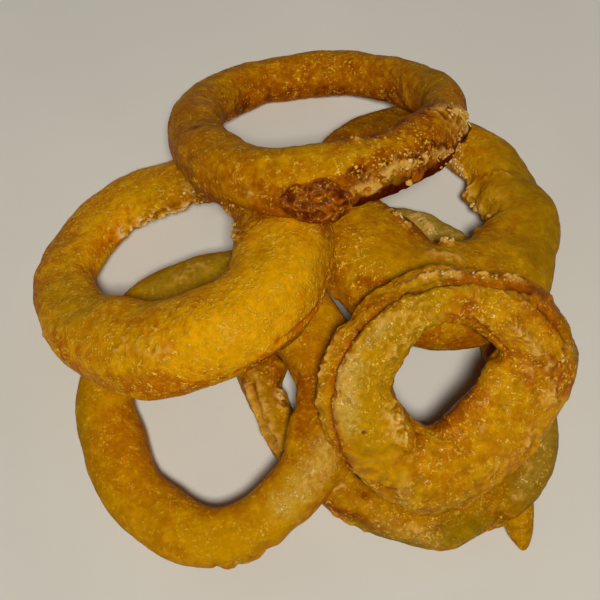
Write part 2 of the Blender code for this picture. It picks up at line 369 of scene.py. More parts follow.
BASE_MARKS = (
    ("ridge", 1, 0.9, (188, 38), (200, 24), (208, 22), (219, 28)),
    ("groove", 0.9, 0.8, (190, 52), (196, 46), (204, 38), (214, 44)),
    ("ridge", 1.2, 0.9, (186, 82), (194, 76), (204, 66), (214, 60)),
    ("flake", 1.6, 0.9, (198, 122), (203, 118)),
    ("cream", 0.7, 0.6, (190, 40), (200, 26), (210, 26)),
    ("milk", 1.2, 0.6, (208, 44), (216, 48), (222, 50)),
    ("cream", 0.8, 0.5, (200, 74), (208, 64), (216, 58)),
    ("brown", 1.6, 0.8, (244, 20), (252, 20), (260, 24), (268, 26)),
    ("ridge", 0.9, 0.9, (250, 0), (256, -4), (262, -2)),
    ("flake", 1.8, 0.6, (247, 86)),
    ("dent", 1.6, 0.9, (257, 99)),
    ("flake", 1.8, 0.6, (277, 51)),
    ("brown", 1.2, 0.8, (284, 64)),
    ("onion", 5, 0.8, (288, 50), (296, 40)),
    ("flake", 1.8, 0.6, (319, 89)),
    ("flake", 1.4, 0.6, (310, 69)),
    ("onion", 8, 0.8, (340, 60), (326, 60), (314, 50)),
    ("milk", 3, 0.35, (334, 62), (322, 72), (314, 74)),
    ("milk", 2.4, 0.3, (284, 24), (276, 34), (266, 44)),
    ("flake", 1.8, 0.2, (284, 30), (276, 38)),
    ("milk", 6, 0.9, (84, 80), (76, 80), (68, 86)),
    ("flake", 1.8, 0.7, (80, 70), (74, 88)),
    ("swell", 3, 3.4, (185, 154)),
    ("hollow", 1.4, 1.6, (192, 160)),
    ("swell", 2, 0.9, (198, 148)),
    ("swell", 3, 1.5, (177, 140)),
    ("hollow", 2, 1.2, (300, -4)),
    ("flake", 1.4, 0.5, (300, 86)),
    ("onion", 7, 0.8, (60, 80), (85, 80)),
    ("swell", 2.5, 2.2, (246, 132)),
    ("dent", 2, 0.8, (304, 20), (303, 60)),
    ("brown", 3, 0.7, (182, 118), (198, 126)),
    ("brown", 2.4, 0.4, (184, 32), (194, 28)),
    ("bright", 4, 0.5, (196, 60), (214, 60)),
    ("onion", 3.5, 1, (260, -8), (278, -2)),
)

MARKS = {
    "ring_top": TOP_MARKS,
    "ring_left": LEFT_MARKS,
    "ring_front": FRONT_MARKS,
    "ring_right": RIGHT_MARKS,
    "ring_front_right": FRONT_RIGHT_MARKS,
    "ring_base": BASE_MARKS,
}

# Crumbs are (count, size, spread, how brown, (around, section), ...) along a line.
CRUMBS = {
    "ring_top": (
        (34, 1.4, 0.9, 0.35, (282, -20), (290, -16), (297, 2), (304, 0),
         (314, -6), (325, -6), (338, 6)),
        (30, 0.7, 1.8, 0.2, (284, -6), (292, 6), (302, 10), (312, 6)),
        (26, 1.2, 2, 0.1, (328, 52), (336, 36), (342, 16), (345, -4)),
        (8, 1.1, 0.7, 0.4, (308, -24), (322, -24), (338, -20)),
        (1, 2.6, 0, 0.15, (299, -24)),
        (14, 0.7, 2, 0.15, (328, 58), (338, 30), (346, -6)),
        (8, 1, 1, 0.6, (238, -49), (248, -52)),
        (3, 1.3, 0.6, 0.2, (287, 92)),
    ),
    "ring_left": (
        (22, 0.9, 0.9, 0.1, (130, 194), (112, 206), (95, 216), (80, 208)),
        (5, 1.1, 1, 0.1, (84, 150), (82, 176)),
        (8, 1.5, 0.7, 0.3, (14, 158), (0, 150), (345, 134)),
        (5, 1.2, 0.6, 0.3, (38, 178), (56, 188)),
        (4, 0.8, 0.8, 0.5, (50, 184), (30, 170)),
    ),
    "ring_front": ((4, 0.8, 1.5, 0.2, (330, 40), (315, 44)),),
    "ring_right": (
        (26, 1.3, 0.8, 0.1, (60, 176), (50, 184), (42, 188)),
        (22, 1.5, 0.9, 0.15, (34, 196), (28, 206), (20, 206), (12, 198)),
        (9, 2.8, 0.8, 0.1, (34, 192), (28, 202), (20, 204), (14, 196)),
        (10, 1, 1.2, 0.1, (62, 130), (58, 150), (56, 168)),
        (1, 2.2, 0, 0, (354, 178)),
        (8, 1.4, 0.9, 0.1, (220, 121), (232, 124)),
        (7, 1.8, 0.9, 0, (268, 145), (280, 131)),
    ),
    "ring_front_right": (
        (14, 0.9, 0.9, 0.05, (112, -4), (100, -4), (92, 2)),
        (12, 0.8, 0.5, 0.05, (82, 0), (70, 6), (58, 6)),
        (10, 0.8, 0.7, 0.1, (160, -8), (180, -4), (200, -4)),
        (5, 0.9, 1.5, 0.1, (22, 59), (356, 82)),
    ),
    "ring_base": (
        (6, 1.1, 0.8, 0.1, (198, 126), (204, 118)),
        (4, 0.9, 1, 0.1, (318, 88), (310, 70)),
    ),
}

# These kinds keep a nearly clean outline; the rest have ragged edges.
CLEAN_MARKS = ("lip", "groove", "crease", "pit", "ridge", "dent", "swell", "hollow", "rim", "seam")

# What a point of batter says of its look, for the material to read.
LOOK_FIELDS = ("brown", "pale", "onion", "milk", "burnt", "grain_and_glint", "crumble", "tone", "frost")

GOLD = (0.55, 0.198, 0.001)
YELLOW = (0.63, 0.3, 0.001)
ORANGE = (0.42, 0.11, 0.001)
RUST = (0.16, 0.022, 0.001)
CREAM = (0.78, 0.44, 0.1)
# Frosty white of pale crumbs; also the colour of the painted white glints in milky patches.
FROST_AND_WHITE_GLINT = (0.86, 0.64, 0.32)
OLIVE = (0.34, 0.205, 0.002)
MILK = (0.7, 0.49, 0.08)
CHAR = (0.07, 0.006, 0.001)
# Colour of the painted glints that stand for oily highlights.
PAINTED_GLINT = (0.92, 0.53, 0.04)

# How warm, how bright, how oily, how grainy and how wrinkled each ring's batter is. The brightness is
# partly painted light: it darkens the rings that lie more in shade and lightens the best lit one; the
# grain also sets how many painted glints a ring has.
LOOKS = {
    "ring_base": (-0.15, 0.73, 0.06, 0.15, 0.7),
    "ring_front": (-0.15, 0.86, 0.0, 0.1, 0.25),
    "ring_right": (-0.1, 0.89, 0.0, 0.2, 0.4),
    "ring_left": (0.0, 1.18, 0.0, 0.8, 0.2),
    "ring_front_right": (-0.15, 0.9, 0.16, 0.45, 1.05),
    "ring_top": (0.5, 0.87, 0.0, 0.25, 0.5),
}

# Widths of the crust's unevenness, from its broad swells down to its grain.
SWELL_SIZE = 8.0
BEND_SIZE = 4.0
WRINKLE_SIZE = 4.0
BUCKLE_SIZE = 3.4
FINE_WRINKLE_SIZE = 1.9
RUBBLE_SIZE = 1.7
LUMP_SIZE = 1.5
GRAIN_SIZE = 1.1

# A crust rises to half its gap to the next ring, less a clearance; where it has
# to give way, it sinks no deeper than this. No ring within reach is a free gap.
CLEARANCE = 0.05
DEEPEST_SINK = 0.4
NEIGHBOUR_GRID = (150, 60)
NEIGHBOUR_REACH = 3.0
FREE_GAP = 9.0

CRUST_SETTINGS = {
    "IOR": 1.38,
    "Subsurface Weight": 0.25,
    "Subsurface Radius": (0.9, 0.45, 0.08),
    "Subsurface Scale": 1.5 * MM,
    "Specular IOR Level": 0.02,
    "Specular Tint": (1.0, 0.6, 0.15, 1.0),
    "Coat Roughness": 0.12,
}

BLOB_GRID = (88, 56)
DRIP_CENTRE = (55.2, -60.8, 3.7)
DRIP_TURN = 6.0

FLOOR_SIZE = 6.0
FLOOR_DROP = 0.0003
LIGHT_TARGET = (0.0, 0.0, 0.02)
CAMERA_TARGET = (0.00078, 0.00146, 0.0)
CAMERA_ELEVATION = 66.0
CAMERA_DISTANCE = 0.405
CAMERA_LENS = 89.1

# The noises' lattice repeats after this many cells; each seed shifts it a step.
LATTICE = 32
SEED_STEP = (3.7, 5.1, 7.9)
LATTICE_SOURCE = np.random.default_rng(11)
GRADIENTS = LATTICE_SOURCE.normal(size=(LATTICE, LATTICE, LATTICE, 3))
GRADIENTS /= np.linalg.norm(GRADIENTS, axis=-1, keepdims=True)
SITES = LATTICE_SOURCE.random((LATTICE, LATTICE, LATTICE, 3))


def lattice_cell(points, size, seed):
    """Each point's lattice cell and its place in the cell."""
    place = points / size + np.array(SEED_STEP) * seed
    cell = np.floor(place).astype(int)
    return cell, place - cell


def read_table(table, cell):
    x, y, z = (cell % LATTICE).T
    return table[x, y, z]


def soft_noise(points, size, seed):
    """Smooth noise of about -1 to 1 with swells about as wide as size."""
    cell, offset = lattice_cell(points, size, seed)
    fade = offset ** 3 * (offset * (offset * 6.0 - 15.0) + 10.0)
    total = np.zeros(len(points))
    for corner in itertools.product((0, 1), repeat=3):
        step = np.array(corner)
        share = np.where(step == 1, fade, 1.0 - fade).prod(axis=1)
        gradient = read_table(GRADIENTS, cell + step)
        total += share * ((offset - step) * gradient).sum(axis=1)
    return 1.6 * total


def rough_noise(points, size, seed, octaves=3):
    """Noise with finer detail laid over it, of about -1 to 1."""
    total = sum(soft_noise(points, size / 2 ** k, seed + k) / 1.8 ** k for k in range(octaves))
    return total / sum(1.0 / 1.8 ** k for k in range(octaves)) * 1.3


def nearest_site(points, size, seed):
    """Distance to the nearest of the scattered sites, in sizes."""
    cell, offset = lattice_cell(points, size, seed)
    nearest = np.full(len(points), 9.0)
    for corner in itertools.product((-1, 0, 1), repeat=3):
        step = np.array(corner)
        apart = np.linalg.norm(read_table(SITES, cell + step) + step - offset, axis=1)
        nearest = np.minimum(nearest, apart)
    return nearest


def wave(terms, angle):
    """The mean with its waves at each angle, and its rate of change there."""
    mean, *shares = terms
    total = np.ones_like(angle)
    rate = np.zeros_like(angle)
    for turns, cosine, sine in shares:
        total = total + cosine * np.cos(turns * angle) + sine * np.sin(turns * angle)
        rate = rate + turns * (sine * np.cos(turns * angle) - cosine * np.sin(turns * angle))
    return mean * total, mean * rate


def signed_power(value, power):
    return np.sign(value) * np.abs(value) ** power


def turn_between(angle, centre):
    """Degrees from centre to angle, the short way round."""
    return (angle - centre + 180.0) % 360.0 - 180.0


def ripple_phases(seed):
    """Turns, lean along the section and phase of each of a ring's ripples."""
    source = random.Random(seed)
    return [(turns, source.choice((-1, 0, 1)), source.uniform(0.0, TURN)) for turns in RIPPLE_TURNS]


def lean_matrix(slope):
    """Turns a flat ring so that it rises by slope along X and Y."""
    normal = Vector((-slope[0], -slope[1], 1.0))
    return np.array(Vector((0.0, 0.0, 1.0)).rotation_difference(normal).to_matrix())


def ring_points(spec, around, section):
    """Points of the smooth crust at these angles in radians, in mm, in the frame's axes."""
    reach, rate = wave(spec["radius"], around)
    width, _ = wave(spec["width"], around)
    height, _ = wave(spec["height"], around)
    run_x = rate * np.cos(around) - reach * np.sin(around)
    run_y = rate * np.sin(around) + reach * np.cos(around)
    run = np.hypot(run_x, run_y)
    push = sum(
        RIPPLE_HEIGHT * np.cos(turns * around + lean * section + phase)
        for turns, lean, phase in ripple_phases(spec["seed"])
    )
    for at, span, side, side_span, rise in spec["swells"]:
        along = turn_between(np.degrees(around), at) / span
        across = turn_between(np.degrees(section), side) / side_span
        push = push + rise * np.exp(-along ** 2 - across ** 2)
    power = 2.0 / SQUARENESS
    out = 0.5 * width * signed_power(np.cos(section), power) + push * np.cos(section)
    up = 0.5 * height * signed_power(np.sin(section), power) + push * np.sin(section)
    x = reach * np.cos(around) + run_y / run * out
    y = reach * np.sin(around) - run_x / run * out
    local = np.stack((x, y, up), axis=-1)
    placed = local @ lean_matrix(spec["slope"]).T + np.array(spec["centre"]) + PILE_SHIFT
    placed[..., 2] = np.maximum(placed[..., 2], 0.0)
    return placed


def ring_grid(shape):
    """Around and section angles of every point of a ring's grid."""
    row, column = np.indices(shape)
    return row * TURN / shape[0], column * TURN / shape[1]


def grid_normals(points):
    """Unit normals at the points of a closed grid."""
    along = np.roll(points, -1, 0) - np.roll(points, 1, 0)
    across = np.roll(points, -1, 1) - np.roll(points, 1, 1)
    normal = np.cross(along, across)
    return normal / np.maximum(np.linalg.norm(normal, axis=-1, keepdims=True), 1e-9)


def grid_faces(rows, columns):
    """Quads of a grid that closes on itself both ways."""
    row, column = np.indices((rows, columns))
    next_row = (row + 1) % rows
    next_column = (column + 1) % columns
    corners = (
        row * columns + column,
        next_row * columns + column,
        next_row * columns + next_column,
        row * columns + next_column,
    )
    return np.stack(corners, -1).reshape(-1, 4)


def distance_to_line(points, line):
    """Distance of each point to a chain of straight runs."""
    best = np.full(len(points), 1e9)
    for start, end in zip(line[:-1], line[1:]):
        run = end - start
        share = np.clip((points - start) @ run / max(run @ run, 1e-9), 0.0, 1.0)
        best = np.minimum(best, np.linalg.norm(points - start - share[:, None] * run, axis=1))
    return best


def mark_line(spec, stops):
    """The stops as points of the crust; a single stop is given twice, as a run of no length."""
    angles = np.radians(np.array(stops, float))
    line = ring_points(spec, angles[:, 0], angles[:, 1])
    return np.concatenate((line, line[-1:])) if len(line) == 1 else line


def ring_fields(spec, marks, grain_and_glint, wrinkled, points, section):
    """The crust's fields at each point, from its marks and its own unevenness."""
    seed = spec["seed"]
    fields = {name: np.zeros(len(points)) for name in ("height", *LOOK_FIELDS)}
    fields["grain_and_glint"] += 0.35 + grain_and_glint + 0.55 * rough_noise(points, 6.0, seed + 1)
    fields["tone"] += (0.5 + 0.25 * wrinkled) * rough_noise(points, 10.0, seed + 2)
    # Steep sides and the underside are browned: partly real browning, partly painted shade on the sides
    # that face away from the light.
    side_brown_and_shade = np.abs(np.cos(section + 0.2)) ** 3
    underside_brown_and_shade = np.clip(-np.sin(section), 0.0, 1.0) ** 2
    fields["brown"] += 0.24 * side_brown_and_shade + 0.25 * underside_brown_and_shade + 0.2 * rough_noise(points, 6.0, seed + 3)
    ragged = rough_noise(points, 2.0, seed + 4)
    for kind, width, strength, *stops in marks:
        raggedness, falloff = (0.3, 2.0) if kind in CLEAN_MARKS else (0.7 * width, 3.0)
        apart = distance_to_line(points, mark_line(spec, stops))
        apart = np.maximum(apart + raggedness * ragged, 0.0)
        share = strength * np.exp(-(apart / width) ** falloff)
        for name, amount in EFFECTS[kind].items():
            fields[name] += amount * share
    for name in ("brown", "pale", "onion", "milk", "burnt", "crumble", "frost"):
        fields[name] = np.clip(fields[name], 0.0, 1.0)
    fields["grain_and_glint"] = np.clip(fields["grain_and_glint"], 0.0, 1.4)
    return fields


def ridges(points, size, seed):
    """Noise of about -1 to 0.7 with sharp crests."""
    return 0.67 - 2.4 * np.abs(soft_noise(points, size, seed))


def crust_relief(seed, wrinkled, points, fields):
    """Height over the smooth form, and crest: 0 in hollows to 1 on what stands out."""
    swell = 0.45 * soft_noise(points, SWELL_SIZE, seed + 20)
    swell = swell + (0.05 + 0.25 * wrinkled) * soft_noise(points, BUCKLE_SIZE, seed + 21)
    fine = 0.08 * rough_noise(points, GRAIN_SIZE, seed + 22, 2) * (0.35 + 0.9 * fields["grain_and_glint"])
    bends = [soft_noise(points, BEND_SIZE, seed + 30 + axis) for axis in range(3)]
    bent = points + 1.2 * np.stack(bends, -1)
    wrinkle = 0.6 * ridges(bent, WRINKLE_SIZE, seed + 25)
    wrinkle = wrinkle + 0.4 * ridges(bent, FINE_WRINKLE_SIZE, seed + 26)
    lumps = np.clip(1.0 - nearest_site(points, LUMP_SIZE, seed + 23) / 0.58, 0.0, 1.0)
    rubble = 0.5 + 0.55 * wrinkle + 0.5 * rough_noise(points, RUBBLE_SIZE, seed + 24, 2)
    rubble = np.clip(rubble + 0.2 * (lumps - 0.35), 0.0, 1.2)
    broken = fields["crumble"] * (1.2 * rubble - 0.45)
    crest = 0.5 + fine / 0.33 + 0.35 * wrinkled * wrinkle
    crest = crest + fields["crumble"] * (rubble - crest)
    height = swell + fine + 0.3 * wrinkled * wrinkle + broken + fields["height"]
    return height, np.clip(crest, 0.0, 1.0)


def neighbour_tree(name):
    """The smooth crusts of all the other rings, to measure distances to."""
    grid = ring_grid(NEIGHBOUR_GRID)
    others = [spec for other, spec in RINGS.items() if other != name]
    points = np.concatenate([ring_points(spec, *grid).reshape(-1, 3) for spec in others])
    quads = grid_faces(*NEIGHBOUR_GRID)
    faces = np.concatenate([quads + index * grid[0].size for index in range(len(others))])
    return BVHTree.FromPolygons(points.tolist(), faces.tolist())


def room_outward(name, points):
    """How far out each point may move within its half of the gap to the next ring."""
    tree = neighbour_tree(name)
    room = np.full(len(points), FREE_GAP)
    for index, point in enumerate(points.tolist()):
        found = tree.find_nearest(point, NEIGHBOUR_REACH)
        if found[0] is not None:
            room[index] = found[3]
    return 0.5 * room - CLEARANCE


def make_mesh(name, points, faces, fields, material):
    """A smooth-shaded piece from points in mm, with its fields as attributes for the material."""
    mesh = bpy.data.meshes.new(name)
    mesh.vertices.add(len(points))
    mesh.vertices.foreach_set("co", (points * MM).astype(np.float32).ravel())
    mesh.loops.add(faces.size)
    mesh.loops.foreach_set("vertex_index", faces.astype(np.int32).ravel())
    mesh.polygons.add(len(faces))
    mesh.polygons.foreach_set("loop_start", np.arange(len(faces), dtype=np.int32) * faces.shape[1])
    mesh.update(calc_edges=True)
    mesh.shade_smooth()
    for field, values in fields.items():
        layer = mesh.attributes.new(field, "FLOAT", "POINT")
        layer.data.foreach_set("value", values.astype(np.float32))
    mesh.materials.append(material)
    piece = bpy.data.objects.new(name, mesh)
    bpy.context.scene.collection.objects.link(piece)
    return piece


def add_bake_map(mesh, rows, columns):
    """Unrolls the ring into two strips, one over the other."""
    row, column = np.indices((rows, columns))
    across = np.stack((row, row + 1, row + 1, row), -1).reshape(-1)
    up = np.stack((column, column, column + 1, column + 1), -1).reshape(-1)
    half = rows // 2
    second = np.repeat((row.reshape(-1) >= half), 4)
    u = 0.01 + 0.98 * (across - second * half) / half
    v = 0.01 + 0.47 * up / columns + 0.51 * second
    layer = mesh.uv_layers.new(name="OFBake")
    layer.uv.foreach_set("vector", np.stack((u, v), -1).astype(np.float32).ravel())


def ball(steps):
    """Points of a unit ball and its triangles."""
    shape = bmesh.new()
    bmesh.ops.create_icosphere(shape, subdivisions=steps, radius=1.0)
    points = np.array([vertex.co for vertex in shape.verts])
    faces = np.array([[vertex.index for vertex in face.verts] for face in shape.faces])
    shape.free()
    return points, faces


def random_turn(source):
    turn = source.normal(size=4)
    return np.array(Quaternion(turn / np.linalg.norm(turn)).to_matrix())


def crumb_place(line, spread, source):
    """A place near a random point of the line."""
    run = source.integers(0, len(line) - 1)
    place = line[run] + source.random() * (line[run + 1] - line[run])
    return place + source.normal(size=3) * 0.5 * spread


def crumb_shape(unit, size, source):
    """An uneven bit of batter about as long as size, turned at random, and its lumps."""
    scale = 0.5 * size * source.uniform(0.55, 1.25) * source.uniform((0.8, 0.6, 0.4), (1.3, 0.9, 0.7))
    lumps = 0.35 * soft_noise(unit * 1.7 + source.random(3) * 40.0, 1.0, 0)
    return (unit * (1.0 + lumps[:, None]) * scale) @ random_turn(source).T, lumps


def make_crumbs(name, crust, normals):
    """Bits of batter stuck along the lines in CRUMBS, half sunk into the crust."""
    spec = RINGS[name]
    source = np.random.default_rng(spec["seed"] + 100)
    unit, triangles = ball(2)
    everywhere = crust.reshape(-1, 3)
    outward = normals.reshape(-1, 3)
    points, faces, brown, crest = [], [], [], []
    for count, size, spread, browning, *stops in CRUMBS[name]:
        line = mark_line(spec, stops)
        for _ in range(count):
            place = crumb_place(line, spread, source)
            nearest = np.argmin(((everywhere - place) ** 2).sum(axis=1))
            bit, lumps = crumb_shape(unit, size, source)
            bit = bit + everywhere[nearest] + outward[nearest] * 0.12 * size
            bit[:, 2] = np.maximum(bit[:, 2], 0.0)
            faces.append(triangles + len(unit) * len(points))
            points.append(bit)
            brown.append(np.full(len(unit), browning + 0.15 * source.normal()))
            crest.append(0.75 + lumps)
    points = np.concatenate(points)
    fields = {field: np.zeros(len(points)) for field in LOOK_FIELDS}
    fields["brown"] = np.clip(np.concatenate(brown), 0.0, 1.0)
    fields["crest"] = np.clip(np.concatenate(crest), 0.0, 1.0)
    fields["pale"] = 0.85 - 0.9 * fields["brown"]
    fields["grain_and_glint"] += 0.3
    fields["crumble"] += 0.3
    fields["frost"] = np.clip(1.0 - 5.0 * fields["brown"], 0.0, 1.0)
    material = crust_material(name + "_crumb_batter")
    piece = make_mesh(name + "_crumbs", points, np.concatenate(faces), fields, material)
    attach(piece, "root")


def oval_points(rows, columns):
    """Unit points of an oval: rows around it, columns from its low end to its high end."""
    row, column = np.indices((rows, columns))
    around = row * TURN / rows
    rise = (column + 0.5) * math.pi / columns - 0.5 * math.pi
    flat = np.cos(rise)
    return np.stack((np.cos(around) * flat, np.sin(around) * flat, np.sin(rise)), -1).reshape(-1, 3)


def oval_triangles(rows, columns):
    """Triangles that close the oval, with a fan at each end."""
    grid = grid_faces(rows, columns).reshape(rows, columns, 4)[:, :-1].reshape(-1, 4)
    ends = (np.arange(rows)[::-1] * columns, np.arange(rows) * columns + columns - 1)
    caps = [np.stack((np.full(rows - 2, end[0]), end[1:-1], end[2:]), -1) for end in ends]
    return np.concatenate((grid[:, :3], grid[:, [0, 2, 3]], *caps))


def make_blob(ring, kind, centre, axes, half, taper, wrinkle, fields, look):
    """A closed run or lump of batter: an oval along its own axes, folded and tapered.

    wrinkle is (height, size, seed) of the folds; each field gives its values
    in a fold's hollow and on its crest; look is (warmth, value, wet).
    """
    unit = oval_points(*BLOB_GRID)
    narrowed = unit * half
    narrowed[:, 0] *= 1.0 + taper * unit[:, 1]
    points = centre + narrowed @ axes
    fold_height, fold_size, fold_seed = wrinkle
    place = (unit * half) @ np.diag((1.0 / 1.8, 1.0, 1.0))
    place = place + 0.9 * soft_noise(points, 3.0, fold_seed)[:, None]
    folds = 0.65 * ridges(place, fold_size, fold_seed + 1)
    folds = folds + 0.45 * ridges(place, 0.5 * fold_size, fold_seed + 2)
    bulge = 0.9 * soft_noise(points, 4.5, fold_seed + 3)
    points = points + fold_height * (folds + bulge)[:, None] * (unit @ axes)
    points[:, 2] = np.maximum(points[:, 2], 0.0)
    values = {key: np.zeros(len(points)) for key in LOOK_FIELDS}
    # Fields run from their hollow value to their crest value across the folds, so darker hollows are
    # painted shade and glints set on the crests are painted highlights.
    for key, (low, high) in fields.items():
        values[key] = np.clip(low + (high - low) * (0.5 + 0.5 * folds), 0.0, 1.0)
    values["crest"] = np.clip(0.5 + 0.5 * folds, 0.0, 1.0)
    name = f"{ring}_{kind}"
    material = crust_material(name + "_batter", *look)
    piece = make_mesh(name, points, oval_triangles(*BLOB_GRID), values, material)
    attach(piece, "root")


class Wiring:
    """Short calls for building one material's nodes."""

    def __init__(self, material):
        material.use_nodes = True
        self.tree = material.node_tree
        self.tree.nodes.clear()
        place = self.add("ShaderNodeTexCoord").outputs["Object"]
        scale = self.add("ShaderNodeVectorMath")
        scale.operation = "SCALE"
        scale.inputs["Scale"].default_value = 1.0 / MM
        self.tree.links.new(place, scale.inputs[0])
        self.place = scale.outputs[0]

    def add(self, kind):
        return self.tree.nodes.new(kind)

    def plug(self, socket, value):
        """Links another node's output to the socket, or sets its value."""
        if isinstance(value, bpy.types.NodeSocket):
            self.tree.links.new(value, socket)
        elif isinstance(value, tuple) and len(value) == 3 and socket.type == "RGBA":
            socket.default_value = (*value, 1.0)
        else:
            socket.default_value = value

    def field(self, name):
        node = self.add("ShaderNodeAttribute")
        node.attribute_name = name
        return node.outputs["Fac"]

    def math(self, operation, first, second, clamp=False):
        node = self.add("ShaderNodeMath")
        node.operation = operation
        node.use_clamp = clamp
        self.plug(node.inputs[0], first)
        self.plug(node.inputs[1], second)
        return node.outputs[0]

    def times(self, first, second, clamp=False):
        return self.math("MULTIPLY", first, second, clamp)

    def blend(self, share, first, second, mode="MIX"):
        """Mixes two colours; the mix node's colour sockets are 6, 7 and, out, 2."""
        node = self.add("ShaderNodeMix")
        node.data_type = "RGBA"
        node.blend_type = mode
        self.plug(node.inputs[0], share)
        self.plug(node.inputs[6], first)
        self.plug(node.inputs[7], second)
        return node.outputs[2]

    def shader(self):
        """The principled shader, joined to the material's output."""
        shader = self.add("ShaderNodeBsdfPrincipled")
        out = self.add("ShaderNodeOutputMaterial")
        self.plug(out.inputs["Surface"], shader.outputs[0])
        return shader

    def noise(self, size, detail=2.0, output="Fac"):
        node = self.add("ShaderNodeTexNoise")
        self.plug(node.inputs["Vector"], self.place)
        node.inputs["Scale"].default_value = 1.0 / size
        node.inputs["Detail"].default_value = detail
        return node.outputs[output]

    def spread(self, value, low, high, to_low=0.0, to_high=1.0):
        """Goes smoothly from to_low to to_high as value goes from low to high."""
        node = self.add("ShaderNodeMapRange")
        node.interpolation_type = "SMOOTHSTEP"
        self.plug(node.inputs["Value"], value)
        limits = {"From Min": low, "From Max": high, "To Min": to_low, "To Max": to_high}
        for socket, limit in limits.items():
            node.inputs[socket].default_value = limit
        return node.outputs["Result"]

    def shade(self, colour, value, low, high, darkest, brightest):
        """Darkens the colour where value is low and brightens it where it is high."""
        brightness = self.spread(value, low, high, darkest, brightest)
        grey = self.add("ShaderNodeCombineColor")
        for socket in grey.inputs[:3]:
            self.plug(socket, brightness)
        return self.blend(1.0, colour, grey.outputs[0], "MULTIPLY")

    def spots(self, size, share):
        """Small uneven spots in a share of scattered cells, 1 at each spot's middle."""
        bent = self.add("ShaderNodeVectorMath")
        bent.operation = "MULTIPLY_ADD"
        self.plug(bent.inputs[0], self.noise(size / 1.4, output="Color"))
        bent.inputs[1].default_value = (size, size, size)
        self.plug(bent.inputs[2], self.place)
        node = self.add("ShaderNodeTexVoronoi")
        self.plug(node.inputs["Vector"], bent.outputs[0])
        node.inputs["Scale"].default_value = 1.0 / size
        split = self.add("ShaderNodeSeparateColor")
        self.plug(split.inputs[0], node.outputs["Color"])
        chosen = self.spread(split.outputs[0], 1.0 - share, 1.02 - share)
        return self.times(chosen, self.spread(node.outputs["Distance"], 0.48, 0.2))


def batter_colour(wire, warmth, value, patch, mottle, crest):
    """Colour under the painted glints: gold to rust with browning, cream where it flakes, with painted
    shade in hollows and painted light on crests.
    """
    shades = (GOLD, YELLOW, ORANGE, RUST, OLIVE, MILK)
    shades = (tuple(value * share for share in shade) for shade in shades)
    gold, yellow, orange, rust, olive, milk = shades
    tone = wire.spread(patch, 0.3, 0.7, -0.5 - warmth, 0.5 - warmth)
    tone = wire.math("ADD", wire.field("tone"), tone)
    colour = wire.blend(wire.spread(tone, -0.7, 0.8), gold, yellow)
    browning = wire.spread(patch, 0.3, 0.7, 0.1 + warmth * 0.3, -0.1)
    browning = wire.math("ADD", wire.field("brown"), browning)
    browning = wire.math("ADD", browning, wire.spread(mottle, 0.3, 0.7, 0.06, -0.06))
    colour = wire.blend(wire.spread(browning, 0.05, 0.6), colour, orange)
    colour = wire.blend(wire.spread(browning, 0.55, 1.15), colour, rust)
    colour = wire.blend(wire.field("onion"), colour, olive)
    colour = wire.shade(colour, mottle, 0.25, 0.75, 0.94, 1.06)
    colour = wire.shade(colour, patch, 0.48, 0.72, 0.98, 1.12)
    # Painted shade and light: the relief darkens the colour in hollows and lightens it on crests.
    colour = wire.shade(colour, crest, 0.1, 0.9, 0.84, 1.18)
    # Painted shade: where the batter crumbles, the hollows between crumbs are darkened toward rust.
    hollow = wire.spread(crest, 0.4, 0.05)
    hollow = wire.times(wire.field("crumble"), hollow, clamp=True)
    hollow = wire.times(hollow, wire.spread(browning, 0.0, 0.7, 0.3, 0.75))
    colour = wire.blend(hollow, colour, rust)
    milky = wire.times(wire.field("milk"), wire.spread(mottle, 0.3, 0.6, 0.6, 1.0))
    milky = wire.times(milky, wire.spread(crest, 0.2, 0.6, 0.4, 1.0))
    colour = wire.blend(milky, colour, milk)
    pale = wire.spread(crest, 0.42, 0.7)
    pale = wire.times(wire.field("pale"), pale, clamp=True)
    return wire.blend(pale, colour, wire.blend(wire.field("frost"), CREAM, FROST_AND_WHITE_GLINT))


def painted_oily_glints(wire, crest):
    """Painted highlights: fine bright flecks in clusters that stand for oily glints, denser where the
    batter is grainy and on crests.
    """
    glint_flecks = wire.times(wire.spread(wire.noise(0.9, 2.5), 0.53, 0.68), 0.7)
    glint_flecks = wire.math("ADD", glint_flecks, wire.times(wire.spots(0.8, 0.55), 0.6), clamp=True)
    clusters = wire.spread(wire.noise(2.6, 3.0), 0.42, 0.6, 0.12, 1.0)
    painted_glint = wire.times(glint_flecks, clusters)
    painted_glint = wire.times(painted_glint, wire.spread(wire.field("grain_and_glint"), 0.1, 1.3, 0.2, 1.65))
    return wire.times(painted_glint, wire.spread(crest, 0.2, 0.8, 0.6, 1.5), clamp=True)


